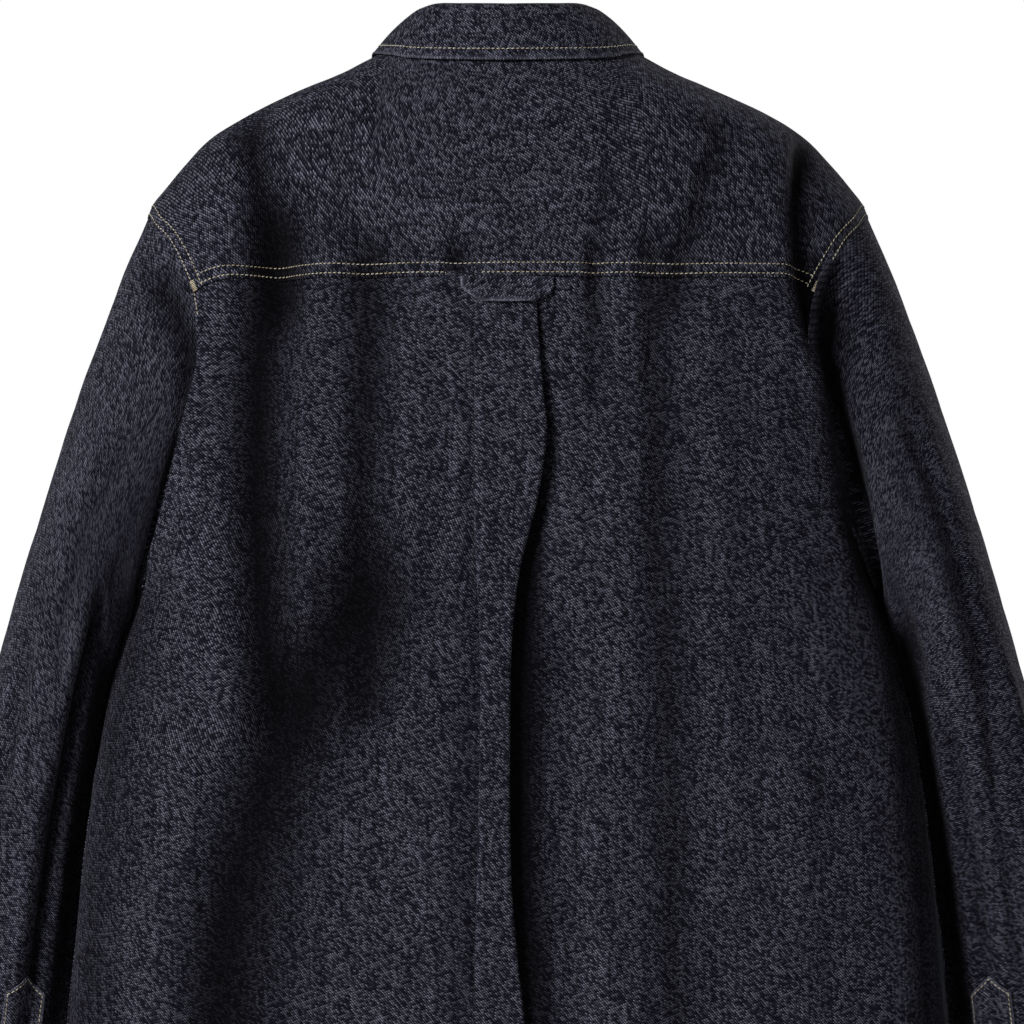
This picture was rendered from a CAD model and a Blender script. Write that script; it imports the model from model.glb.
import math

import bpy
import numpy as np
from mathutils import Matrix, Vector


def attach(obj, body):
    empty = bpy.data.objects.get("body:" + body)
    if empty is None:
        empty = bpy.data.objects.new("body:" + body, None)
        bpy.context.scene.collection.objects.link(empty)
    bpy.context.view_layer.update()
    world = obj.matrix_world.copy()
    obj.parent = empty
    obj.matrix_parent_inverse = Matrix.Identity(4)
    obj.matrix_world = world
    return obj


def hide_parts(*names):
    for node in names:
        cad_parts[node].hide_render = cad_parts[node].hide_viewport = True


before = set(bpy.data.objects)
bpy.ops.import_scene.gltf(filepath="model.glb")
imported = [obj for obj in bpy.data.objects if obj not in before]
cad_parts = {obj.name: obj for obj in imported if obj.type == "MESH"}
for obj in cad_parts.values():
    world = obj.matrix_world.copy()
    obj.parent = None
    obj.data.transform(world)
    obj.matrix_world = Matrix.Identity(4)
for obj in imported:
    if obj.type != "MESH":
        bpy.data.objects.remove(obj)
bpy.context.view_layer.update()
MM = 0.001


# Studio: a long lens behind the shirt, a broad soft light from its left, a weak one from its right,
# and a pale floor under a white surround.
CAMERA_DISTANCE = 5
VIEW_WIDTH = 0.696
VIEW_CENTRE = (-0.0027, -0.3066)
SENSOR = 36
FLOOR_Z = -1.5
FLOOR_SIZE = 7

camera = bpy.data.objects.new("camera", bpy.data.cameras.new("camera"))
camera.data.sensor_width = SENSOR
camera.data.lens = SENSOR * CAMERA_DISTANCE / VIEW_WIDTH
camera.location = (VIEW_CENTRE[0], CAMERA_DISTANCE, VIEW_CENTRE[1])
camera.rotation_euler = (math.pi / 2, 0, math.pi)
bpy.context.collection.objects.link(camera)
bpy.context.scene.camera = camera
bpy.context.scene.view_settings.view_transform = "Standard"


def add_light(name, place, target, size, power):
    """Square soft light that looks at a point."""
    lamp = bpy.data.lights.new(name, "AREA")
    lamp.shape = "SQUARE"
    lamp.size = size
    lamp.energy = power
    made = bpy.data.objects.new(name, lamp)
    made.location = place
    made.rotation_euler = (Vector(target) - Vector(place)).to_track_quat("-Z", "Y").to_euler()
    bpy.context.collection.objects.link(made)


add_light("key", (1.95, 2.3, 1.0), (0, 0, -0.35), 0.7, 92)
add_light("fill", (-2.2, 2.4, 0.3), (0, 0, -0.35), 1.4, 11)
add_light("front_key", (-1.9, -2.2, 0.9), (0, 0, -0.35), 1.2, 52)
add_light("front_fill", (2.4, -2.0, 0.3), (0, 0, -0.35), 1.6, 20)

world = bpy.data.worlds.new("surround")
world.use_nodes = True
bpy.context.scene.world = world
surround = world.node_tree
seen = surround.nodes["Background"]
seen.inputs["Color"].default_value = (1, 1, 1, 1)
glow = surround.nodes.new("ShaderNodeBackground")
glow.inputs["Color"].default_value = (0.95, 0.97, 1, 1)
glow.inputs["Strength"].default_value = 0.035
ray = surround.nodes.new("ShaderNodeLightPath")
either = surround.nodes.new("ShaderNodeMixShader")
surround.links.new(ray.outputs["Is Camera Ray"], either.inputs[0])
surround.links.new(glow.outputs[0], either.inputs[1])
surround.links.new(seen.outputs[0], either.inputs[2])
surround.links.new(either.outputs[0], surround.nodes["World Output"].inputs["Surface"])

bpy.ops.object.select_all(action="DESELECT")
bpy.ops.mesh.primitive_grid_add(x_subdivisions=8, y_subdivisions=8, size=FLOOR_SIZE, location=(0, 0, FLOOR_Z))
floor = bpy.context.object
floor.name = "floor"
floor.data.materials.append(bpy.data.materials.new("pale_floor"))
floor.data.materials[0].use_nodes = True
floor_shader = floor.data.materials[0].node_tree.nodes["Principled BSDF"]
floor_shader.inputs["Base Color"].default_value = (0.8, 0.8, 0.79, 1)
floor_shader.inputs["Roughness"].default_value = 0.9


# Back panel: one piece of raw indigo denim on the fold, with a box pleat in its middle. Its upper
# edge lies under the yoke, and it falls from the shoulder blades in long soft folds.
SQUARE = 2.3
CAP_Z = -150
CAP_TOP = 28
CAP_REACH = 260


def table(columns, *rows):
    """Short table whose columns have names."""
    return dict(zip(columns.split(), np.array(rows, float).T))


def smooth(rows, key, column, at):
    """Value of a column at places along the key, on a smooth curve through the rows."""
    k = rows[key]
    v = rows[column]
    if k[0] > k[-1]:
        k = k[::-1]
        v = v[::-1]
    slope = np.empty_like(v)
    slope[1:-1] = (v[2:] - v[:-2]) / (k[2:] - k[:-2])
    slope[0] = (v[1] - v[0]) / (k[1] - k[0])
    slope[-1] = (v[-1] - v[-2]) / (k[-1] - k[-2])
    at = np.clip(at, k[0], k[-1])
    i = np.clip(np.searchsorted(k, at) - 1, 0, len(k) - 2)
    span = k[i + 1] - k[i]
    t = (at - k[i]) / span
    ends = v[i] * (1 + 2 * t) * (1 - t) ** 2 + v[i + 1] * t * t * (3 - 2 * t)
    return ends + span * (slope[i] * t * (1 - t) ** 2 + slope[i + 1] * t * t * (t - 1))


def ease(t):
    """Soft step from 0 to 1."""
    t = np.clip(t, 0, 1)
    return t * t * (3 - 2 * t)


def lerp(a, b, t):
    return a + (b - a) * t


BODY = table(
    "z half back front",
    (28, 10, 8, 8),
    (20, 45, 34, 28),
    (9, 76, 56, 46),
    (-1, 96, 66, 58),
    (-10, 113, 71, 64),
    (-22, 142, 78, 72),
    (-38, 176, 84, 80),
    (-54, 201, 88, 86),
    (-71, 218, 92, 92),
    (-87, 231, 95, 97),
    (-104, 243, 98, 101),
    (-150, 249, 104, 110),
    (-200, 250, 107, 117),
    (-260, 250, 108, 121),
    (-310, 250.5, 107, 121),
    (-358, 253, 104, 118),
    (-394, 262, 102, 115),
    (-434, 271, 100, 112),
    (-515, 285, 96, 104),
    (-595, 294, 92, 97),
    (-655, 299, 89, 92),
    (-760, 304, 86, 88),
)
HEM_CENTRE = -750
HEM_SIDE = -700
YOKE_Z = -149
YOKE_DIP = {"by": 9.6, "from": 178, "late": 1.8}
ARM_X = 210.8
ARM_TOP_Z = -107
ARM_ROUND = 1.4
UNDERARM = -358
ARM_EDGE = table(
    "z x",
    (-150, 214.5),
    (-163, 211),
    (-177, 208.5),
    (-200, 207.5),
    (-228, 212),
    (-263, 221.5),
    (-299, 231.5),
    (-330, 242.5),
    (-350, 251),
    (-358, 253),
)
BACK_FOLDS = table(
    "x0 z0 x1 z1 x2 z2 width depth kept",
    (181, -40, 170, -98, 160, -165, 14, -11, 0.92),
    (163, -122, 176, -275, 160, -435, 25, -18, 1.0),
    (95, -138, 99, -260, 98, -432, 18, -9, 0.82),
    (106, -372, 154, -462, 168, -830, 43, -14, 0.97),
    (214, -232, 210, -281, 216, -332, 9, 4, 0),
    (129, -190, 133, -300, 132, -420, 12, 5, 0),
    (112, -58, 112, -100, 106, -150, 11, -3, 0.25),
    (-141, -58, -129, -95, -112, -160, 13, -5, 0.6),
    (-203, -42, -196, -100, -204, -182, 12, -9, 0.97),
    (-66, -85, -62, -115, -54, -150, 8, -3, 0.4),
    (36, -142, 36, -190, 38, -270, 10, -6, 0.85),
    (60, -190, 57, -290, 66, -420, 11, 4, 0),
    (26, -330, 25, -450, 24, -700, 9, -4, 0.45),
    (-57, -146, -58, -180, -56, -225, 8, -4, 0.5),
    (-26, -400, -28, -560, -32, -745, 14, -5, 0.35),
    (-97, -132, -103, -330, -111, -790, 15, -6, 0.62),
    (-78, -300, -80, -480, -84, -700, 12, 3, 0),
    (-138, -190, -142, -340, -146, -520, 14, 3, 0),
    (-236, -300, -262, -430, -284, -740, 15, -5, 0.72),
    (-208, -160, -212, -235, -240, -345, 14, -1, 1.0),
    (-62, -480, -66, -600, -70, -745, 12, 4, 0),
    (-196, -480, -200, -600, -204, -740, 13, 3, 0),
    (252, -372, 274, -520, 292, -740, 20, -3, 0.6),
)
FOLD_FADE = 34
STEEP = 0.62
BROAD = 1.35
PLEAT = table(
    "z left right tuck lift dark kept",
    (-130, 21, -17, 15, 0.8, 3, 0.95),
    (-150, 21, -17.3, 15, 1.0, 3.5, 0.97),
    (-165, 21, -17.6, 15, 2.0, 4, 1),
    (-199, 20.5, -19.1, 14, 5, 4.5, 1),
    (-228, 20, -21.3, 14, 7, 6, 1),
    (-253, 20, -23.4, 13, 8, 8, 1),
    (-293, 20, -16.8, 12, 9, 11, 1),
    (-333, 18, -5.5, 7, 10, 20, 1),
    (-372, 15.5, 0, 4.5, 11, 24, 1),
    (-422, 15, 1.5, 4, 11, 26, 1),
    (-516, 17, 1, 4.5, 11, 25, 1),
    (-573, 19, -4, 6, 10, 25, 0.95),
    (-629, 21, -11, 7, 9, 23, 0.82),
    (-760, 24, -17, 6, 8, 24, 0.8),
)
PLEAT_UNDER = 15
PLEAT_TOP = 7
PLEAT_LEFT_DARK = 0.35
PLEAT_DARK_END = 8
PLEAT_FREE = 5
CLOTH = 0.95
WEAR_REACH = 1.1
BACK_ROWS = 170
SIDE_COLUMNS = 58
UNDER_YOKE = 2.5
UNDER_YOKE_DEPTH = 1.5
EDGE_RISE = {"left": 2.5, "right": 6}
EDGES = {"top": (0, 1), "bottom": (0, -1), "left": (1, 1), "right": (1, -1)}


def section(z, behind):
    """Half width and depth of the body's section at a height."""
    depth = np.where(behind, smooth(BODY, "z", "back", z), smooth(BODY, "z", "front", z))
    return smooth(BODY, "z", "half", z), depth


def join(*parts):
    """Places from their x, y and z, which may be numbers or arrays."""
    return np.stack(np.broadcast_arrays(*parts), -1).astype(float)


def swing(degrees):
    return np.sin(np.radians(degrees)), np.cos(np.radians(degrees))


def ring_point(turn, z):
    """Place on the body by its turn in degrees, 0 at the centre back and 90 at the wearer's left side."""
    s, c = swing(turn)
    half, depth = section(z, c >= 0)
    r = (abs(s) ** SQUARE + abs(c) ** SQUARE) ** (-1 / SQUARE)
    return join(half * r * s, depth * r * c, z)


def turn_at(x, z):
    """Turn at which a section reaches a distance from the middle."""
    share = np.clip(abs(x) / smooth(BODY, "z", "half", z), 0, 0.99999) ** SQUARE
    return np.sign(x) * np.degrees(np.arctan((share / (1 - share)) ** (1 / SQUARE)))


def yoke_seam(x):
    share = np.clip((abs(x) - YOKE_DIP["from"]) / (ARM_X - YOKE_DIP["from"]), 0, 1)
    return YOKE_Z - YOKE_DIP["by"] * share ** YOKE_DIP["late"]


def edge_turn(z):
    """Turn of the armhole at a height, and of the side seam below it."""
    return np.where(z <= UNDERARM, 90.0, turn_at(smooth(ARM_EDGE, "z", "x", z), z))


def hem_at(turn):
    return HEM_CENTRE + (HEM_SIDE - HEM_CENTRE) * np.minimum(turn / 90, 1) ** 3


def fold_depth(folds, x, z):
    """Depth of long folds at a place, soft troughs and ridges that fade at both ends, and the share
    of its dye that the cloth has kept in a trough, where it never rubs."""
    total = np.zeros(np.broadcast(x, z).shape)
    bare = np.ones(total.shape)
    for x0, z0, x1, z1, x2, z2, width, depth, kept in zip(*folds.values()):
        t = np.clip((z - z0) / (z2 - z0), 0, 1)
        bend = (z1 - z0) / (z2 - z0)
        bow = (x1 - lerp(x0, x2, bend)) / (bend * (1 - bend))
        path = lerp(x0, x2, t) + bow * t * (1 - t)
        fade = FOLD_FADE * max(1, width / 18)
        ends = ease(1 - (z - z0) / fade) * ease(1 - (z2 - z) / fade)
        narrow = (x - path) * depth < 0
        shape = np.exp(-(((x - path) / width / np.where(narrow, STEEP, BROAD)) ** 2)) * ends
        total += depth * shape
        bare *= 1 - kept * shape
    return total, 1 - bare


def ripples(u, v, size, seed):
    """Small uneven swellings about one size apart, from -1 to 1."""
    dice = np.random.default_rng(seed)
    total = 0
    for _ in range(8):
        way = dice.uniform(0, 2 * np.pi)
        pitch = size * dice.uniform(0.7, 1.7)
        start = dice.uniform(0, 2 * np.pi)
        total = total + np.sin(2 * np.pi * (u * np.cos(way) + v * np.sin(way)) / pitch + start)
    return total / 5


def back_wave(x, z):
    """Low swellings that run through the back and the yoke behind."""
    return 0.9 * ripples(x, z * 0.35, 42, 5) + 0.35 * ripples(x, z * 0.5, 15, 8)


def unit(a):
    return a / np.maximum(np.linalg.norm(a, axis=-1, keepdims=True), 1e-9)


def outward(grid, closed=False):
    """Outward direction at each point of a grid whose rows run down and columns to the right."""
    down = np.zeros_like(grid)
    right = np.zeros_like(grid)
    step = unit(np.diff(grid, axis=0))
    down[:-1] += step
    down[1:] += step
    if closed:
        step = unit(np.roll(grid, -1, 1) - grid)
        right += step + np.roll(step, 1, 1)
    else:
        step = unit(np.diff(grid, axis=1))
        right[:, :-1] += step
        right[:, 1:] += step
    return unit(np.cross(down, right))


def moved(grid, distance, closed=False):
    return grid + outward(grid, closed) * np.asarray(distance)[..., None]


def facing(grid, side):
    """Grid turned so that one of its edges comes first."""
    axis, way = EDGES[side]
    return np.swapaxes(grid, 0, axis)[::way]


def from_edge(turned):
    """Distance of each point from a turned grid's first row."""
    steps = np.linalg.norm(np.diff(turned, axis=0), axis=-1)
    return np.concatenate([np.zeros((1, turned.shape[1])), np.cumsum(steps, 0)])


class Wire:
    """One output of a material's nodes, on which sums can be written."""

    def __init__(self, tree, socket=None):
        self.tree = tree
        self.socket = socket

    def node(self, kind, settings=None, values=None, out=0):
        """Adds a node of a kind, with its settings and the values or wires of its sockets."""
        made = self.tree.nodes.new(kind)
        for name, value in (settings or {}).items():
            setattr(made, name, value)
        for key, value in (values or {}).items():
            if isinstance(value, Wire):
                self.tree.links.new(value.socket, made.inputs[key])
            else:
                made.inputs[key].default_value = value
        return Wire(self.tree, made.outputs[out])

    def sum(self, operation, *others):
        values = {i + 1: other for i, other in enumerate(others)}
        return self.node("ShaderNodeMath", {"operation": operation}, {0: self, **values})

    def __add__(self, other):
        return self.sum("ADD", other)

    __radd__ = __add__

    def __mul__(self, other):
        return self.sum("MULTIPLY", other)

    __rmul__ = __mul__

    def __sub__(self, other):
        return self.sum("SUBTRACT", other)

    def __rsub__(self, other):
        return self * -1 + other

    def __truediv__(self, other):
        return self.sum("DIVIDE", other)

    def __pow__(self, other):
        return self.sum("POWER", other)

    def wave(self):
        """Sine of a number of turns, brought to 0 to 1."""
        return (self * (2 * math.pi)).sum("SINE") * 0.5 + 0.5

    def between(self, low, high):
        """0 below low, 1 above high, soft in between."""
        values = {"Value": self, "From Min": low, "From Max": high}
        return self.node("ShaderNodeMapRange", {"interpolation_type": "SMOOTHSTEP"}, values)

    def place(self, u, v):
        return self.node("ShaderNodeCombineXYZ", None, {0: u, 1: v})

    def noise(self, where, scale=1.0, detail=2.0):
        return self.node("ShaderNodeTexNoise", None, {"Vector": where, "Scale": scale, "Detail": detail})

    def mix(self, low, high):
        """Colour between two colours, this wire being the share of the second."""
        settings = {"data_type": "RGBA", "clamp_factor": True}
        return self.node("ShaderNodeMix", settings, {0: self, 6: low, 7: high}, 2)


def new_material(name):
    made = bpy.data.materials.new(name)
    made.use_nodes = True
    shader = made.node_tree.nodes["Principled BSDF"]
    return made, shader, Wire(made.node_tree)


TWILL_PITCH = 1.8
FLOAT = 1.4
DENIM = {"deep": (0.003, 0.003, 0.006, 1), "lit": (0.03, 0.03, 0.053, 1), "speck": (0.37, 0.37, 0.48, 1)}
DYED = (0.0012, 0.0013, 0.002, 1)
INSIDE = {"deep": (0.045, 0.05, 0.065, 1), "lit": (0.12, 0.125, 0.145, 1), "speck": (0.3, 0.3, 0.32, 1)}


def denim(name, shades, lean=1):
    """Raw twill: steep diagonal lines, pale weft specks, uneven yarns along the warp, worn edges."""
    made, shader, base = new_material(name)
    cloth = base.node("ShaderNodeUVMap", {"uv_map": "cloth"})
    u = base.node("ShaderNodeSeparateXYZ", None, {0: cloth}, 0)
    v = base.node("ShaderNodeSeparateXYZ", None, {0: cloth}, 1)
    warp = base.noise(base.place(u / 1.5, v / 40), 1.0, 3.0)
    slub = base.noise(base.place(u / 6, v / 110), 1.0, 2.0)
    weft = base.noise(base.place(u / 50, v / 2.0), 1.0, 2.0)
    cloud = base.noise(base.place(u / 38, v / 60), 1.0, 3.0)
    wobble = base.noise(base.place(u / 7, v / 9), 1.0, 1.0)
    line = u * lean / TWILL_PITCH - v / (TWILL_PITCH * 1.3) + wobble * 0.3
    run = v / FLOAT + line.sum("FLOOR") * 0.37
    yarn = base.place(line.sum("FLOOR"), run.sum("FLOOR"))
    fleck = base.node("ShaderNodeTexWhiteNoise", {"noise_dimensions": "2D"}, {"Vector": yarn})
    wale = line.wave()
    knuckle = wale * run.wave() ** 0.5
    grain = base.noise(base.place(u / 0.5, v / 0.5), 1.0, 1.0)
    streak = (warp - 0.5) * 1.0 + (slub - 0.5) * 0.7 + (weft - 0.5) * 0.6 + (cloud - 0.5) * 0.3
    body = knuckle * (fleck * 0.5 + 0.6) + (grain - 0.5) * 0.2 + streak * 0.8
    colour = body.between(0.0, 1.0).mix(shades["deep"], shades["lit"])
    specks = fleck.between(0.15, 1.0) ** 1.3 * knuckle * (warp * 1.2 + slub * 0.6 - 0.3)
    colour = specks.mix(colour, shades["speck"])
    worn = base.node("ShaderNodeAttribute", {"attribute_name": "worn"}, None, 2)
    colour = (worn * grain.between(0.4, 0.65) * 0.8).mix(colour, shades["speck"])
    kept = base.node("ShaderNodeAttribute", {"attribute_name": "hollow"}, None, 2)
    colour = (kept * 0.96).mix(colour, DYED)
    made.node_tree.links.new(colour.socket, shader.inputs["Base Color"])
    height = knuckle * 0.9 + warp * 0.5
    relief = base.node("ShaderNodeBump", None, {"Strength": 0.55, "Distance": 0.0005, "Height": height})
    made.node_tree.links.new(relief.socket, shader.inputs["Normal"])
    shader.inputs["Roughness"].default_value = 0.93
    shader.inputs["Specular IOR Level"].default_value = 0.05
    shader.inputs["Sheen Weight"].default_value = 0.02
    shader.inputs["Sheen Roughness"].default_value = 0.5
    return made


cloth_outside = denim("denim", DENIM)
cloth_inside = denim("denim_inside", INSIDE, -1)


def new_mesh(name, places, corners, starts):
    """Smooth mesh from its places, the corners of all its faces and the first corner of each."""
    mesh = bpy.data.meshes.new(name)
    mesh.vertices.add(len(places))
    mesh.vertices.foreach_set("co", places.ravel())
    mesh.loops.add(len(corners))
    mesh.loops.foreach_set("vertex_index", corners)
    mesh.polygons.add(len(starts))
    mesh.polygons.foreach_set("loop_start", starts)
    mesh.polygons.foreach_set("use_smooth", np.ones(len(starts), bool))
    mesh.update(calc_edges=True)
    return mesh


def new_piece(name, mesh, slot, *materials):
    made = bpy.data.objects.new(name, mesh)
    bpy.context.collection.objects.link(made)
    for material in materials:
        mesh.materials.append(material)
    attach(made, "root")
    return made


def shell(name, grid, uv, thick, closed=False, worn=(), inside=cloth_inside, wear=0.4, kept=0.0):
    """Piece of cloth of one thickness about a grid, with rounded edges and its grain as a UV map."""
    rows, columns = grid.shape[:2]
    out = outward(grid, closed)
    down = unit(np.gradient(grid, axis=0))
    right = unit(np.gradient(grid, axis=1))
    outer = grid + out * thick / 2
    inner = grid - out * thick / 2
    middle = grid.copy()
    middle[0] -= down[0] * thick / 2
    middle[-1] += down[-1] * thick / 2
    if not closed:
        middle[:, 0] -= right[:, 0] * thick / 2
        middle[:, -1] += right[:, -1] * thick / 2
    places = np.concatenate([outer, inner, middle]).reshape(-1, 3) * MM
    wrap = columns if closed else columns - 1

    def ids(layer, r, c):
        return (layer * rows + r) * columns + c % columns

    r, c = (a.ravel() for a in np.meshgrid(np.arange(rows - 1), np.arange(wrap), indexing="ij"))
    corners = [(r, c), (r + 1, c), (r + 1, c + 1), (r, c + 1)]
    quads = [[ids(0, a, b) for a, b in corners], [ids(1, a, b) for a, b in corners[::-1]]]
    grains = [corners, corners[::-1]]
    rims = [(np.full(wrap, edge), np.arange(wrap), 0, 1) for edge in (0, rows - 1)]
    if not closed:
        rims += [(np.arange(rows - 1), np.full(rows - 1, edge), 1, 0) for edge in (0, columns - 1)]
    for k, (a, b, da, db) in enumerate(rims):
        for first, second in ((0, 2), (2, 1)):
            loop = [(first, a, b), (first, a + da, b + db), (second, a + da, b + db), (second, a, b)]
            loop = loop[::-1] if k in (1, 2) else loop
            quads.append([ids(*corner) for corner in loop])
            grains.append([(x, y) for _, x, y in loop])
    faces = np.concatenate([np.stack(q, 1) for q in quads])
    last = uv.shape[1] - 1
    grain = np.concatenate([np.stack([uv[x, np.minimum(y, last)] for x, y in g], 1) for g in grains])
    mesh = new_mesh(name, places, faces.ravel(), np.arange(0, faces.size, 4))
    inner_face = np.zeros(len(faces), np.int32)
    inner_face[len(r):2 * len(r)] = 1
    mesh.polygons.foreach_set("material_index", inner_face)
    cloth = mesh.uv_layers.new(name="cloth")
    cloth.uv.foreach_set("vector", grain.reshape(-1, 2).astype(np.float32).ravel())
    amount = np.zeros((rows, columns))
    for side in worn:
        axis, way = EDGES[side]
        away = np.swapaxes(from_edge(facing(grid, side))[::way], 0, axis)
        amount = np.maximum(amount, wear * np.exp(-away / WEAR_REACH))
    for title, values in (("worn", amount), ("hollow", np.broadcast_to(kept, (rows, columns)))):
        shares = mesh.attributes.new(title, "FLOAT", "POINT")
        shares.data.foreach_set("value", np.concatenate([values] * 3).ravel().astype(np.float32))
    return new_piece(name, mesh, "denim", cloth_outside, inside)


def grain_of(grid, across=False, closed=False):
    """UV map of a grid in millimetres of cloth, the warp down its columns or, across, along its rows.
    It starts in the middle column, or in the first one of a closed grid."""
    if closed:
        grid = np.concatenate([grid, grid[:, :1]], 1)
    middle = 0 if closed else grid.shape[1] // 2
    u = from_edge(facing(grid, "left")).T
    u = u - u[:, middle:middle + 1]
    v = np.broadcast_to(from_edge(grid[:, middle:middle + 1]), u.shape)
    return np.stack([v, u] if across else [u, v], -1)


def pleat_path(edge, mark, tuck, lift):
    """Section of one side of the box pleat, from under its edge to its top: places in x, and heights."""
    r = lift / 4
    arc = np.radians(np.linspace(-90, 90, 7))[1:-1]
    across = np.concatenate([
        np.linspace(-PLEAT_UNDER, tuck, 5)[:4],
        tuck + r * np.cos(arc),
        np.linspace(tuck, 0, 5),
        -r * np.cos(arc),
        np.linspace(0, min(tuck, PLEAT_TOP), 4),
    ])
    height = np.concatenate([
        np.zeros(4), r + r * np.sin(arc), np.full(5, 2 * r), 3 * r + r * np.sin(arc), np.full(4, 4 * r),
    ])
    return edge - mark * across, height


def back_grid():
    """Surface of the back, and the share of its dye that the cloth has kept."""
    v = np.linspace(0, 1, BACK_ROWS)
    side_z = lerp(yoke_seam(ARM_X) + UNDER_YOKE, HEM_SIDE, v)
    rows = []
    for k, z in zip(v, side_z):
        left, right, tuck, lift, dark, most = (smooth(PLEAT, "z", name, z) for name in PLEAT if name != "z")
        halves = []
        for edge, mark, strength in ((left, 1, PLEAT_LEFT_DARK), (right, -1, most)):
            x, height = pleat_path(edge, mark, tuck, lift)
            start = turn_at(x[0], z)
            share = np.linspace(1, 0, SIDE_COLUMNS)[:-1]
            turn = lerp(start, mark * edge_turn(z), share)
            side_x = ring_point(turn, z)[:, 0]
            level = lerp(yoke_seam(side_x) + UNDER_YOKE, hem_at(abs(turn)), k)
            clear = ease(abs(turn - start) / PLEAT_FREE)
            folds, kept = fold_depth(BACK_FOLDS, side_x, level)
            beside = strength * np.exp(-((mark * (side_x - edge) / dark) ** PLEAT_DARK_END))
            lift_there = (folds + back_wave(side_x, level)) * clear
            side = np.stack([turn, level, lift_there, np.maximum(kept * clear, beside)], 1)
            inner_turn = turn_at(x, z)
            inner_level = lerp(yoke_seam(x) + UNDER_YOKE, hem_at(abs(inner_turn)), k)
            beyond = np.maximum(mark * (x - edge), 0)
            beside = strength * np.exp(-((beyond / dark) ** PLEAT_DARK_END))
            shade = np.where(height < lift * 0.8, beside, 0)
            halves.append(np.concatenate([side, np.stack([inner_turn, inner_level, height, shade], 1)]))
        middle = np.linspace(halves[0][-1], halves[1][-1], 7)[1:-1]
        rows.append(np.concatenate([halves[0], middle, halves[1][::-1]]))
    turn, z, lift, shade = np.moveaxis(np.array(rows), -1, 0)
    base = ring_point(turn, z)
    half, depth = section(z, True)
    out = unit(join(base[..., 0] / half ** 2, base[..., 1] / depth ** 2, np.zeros_like(z)))
    below = yoke_seam(base[..., 0]) - z
    pucker = 0.35 * ripples(base[..., 0], z * 0.12, 9, 3) * np.exp(-((below / 14) ** 2))
    pucker = pucker * ease((below + 2) / 4)
    tucked = -UNDER_YOKE_DEPTH * ease((3.2 - below) / 4.5)
    rise = np.where(turn > 0, EDGE_RISE["left"], EDGE_RISE["right"])
    edge = rise * ease(1 - (edge_turn(z) - abs(turn)) / 6) * ease(below / 40) * ease((z + 620) / 300)
    return base + out * (lift + pucker + tucked + edge)[..., None], shade


back_surface, back_shade = back_grid()
back_grain = grain_of(back_surface)
back_piece = shell("back_panel", back_surface, back_grain, CLOTH, worn=("bottom",), kept=back_shade)
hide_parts("back")


# Sewing thread: cream lockstitch, about eight stitches to the inch, that lies in a shallow dip of
# the cloth. The back's hem is turned up once and sewn with one row.
STITCH_PITCH = 3.3
STITCH = (2.55, 0.72, 0.55)
STITCH_SIDES = 5
STITCH_SLANT = 0.16
STITCH_RISE = 0.1
HEM_ROW = 9
SIDE_ROW = 1.6
BELOW_YOKE = 9
ROW_END = {"left": -178, "right": -164}


def thread_material():
    made, shader, base = new_material("thread")
    where = base.node("ShaderNodeTexCoord", None, None, 3)
    tone = base.noise(where, 160.0, 1.0)
    twist = base.noise(where, 1500.0, 1.0)
    colour = tone.between(0.35, 0.65).mix((0.45, 0.37, 0.22, 1), (0.72, 0.66, 0.5, 1))
    colour = (twist.between(0.4, 0.65) * 0.45).mix(colour, (0.12, 0.09, 0.05, 1))
    made.node_tree.links.new(colour.socket, shader.inputs["Base Color"])
    shader.inputs["Roughness"].default_value = 0.7
    shader.inputs["Sheen Weight"].default_value = 0.1
    return made


thread = thread_material()


def edge_row(grid, side, distance, thick):
    """Line on a grid's outer face at a distance from one of its edges, and its outward directions."""
    g = facing(grid, side)
    n = facing(outward(grid), side)
    away = from_edge(g)
    i = np.clip((away < distance).sum(0) - 1, 0, len(g) - 2)
    c = np.arange(g.shape[1])
    t = ((distance - away[i, c]) / np.maximum(away[i + 1, c] - away[i, c], 1e-6))[:, None]
    normal = unit(lerp(n[i, c], n[i + 1, c], t))
    return lerp(g[i, c], g[i + 1, c], t) + normal * thick / 2, normal


def stitched(line, normal, pitch=STITCH_PITCH, size=STITCH, slant=STITCH_SLANT, spare=0.0):
    """Places and directions of the stitches along a line."""
    steps = np.linalg.norm(np.diff(line, axis=0), axis=1)
    run = np.concatenate([[0], np.cumsum(steps)])
    at = np.arange(pitch / 2 + spare, run[-1] - spare, pitch)

    def along(values, places):
        return np.stack([np.interp(places, run, values[:, k]) for k in range(3)], 1)

    n = unit(along(normal, at))
    t = unit(along(line, at + pitch / 3) - along(line, at - pitch / 3))
    t = unit(t + unit(np.cross(n, t)) * slant)
    return along(line, at), t, unit(np.cross(n, t)), n, size


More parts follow.
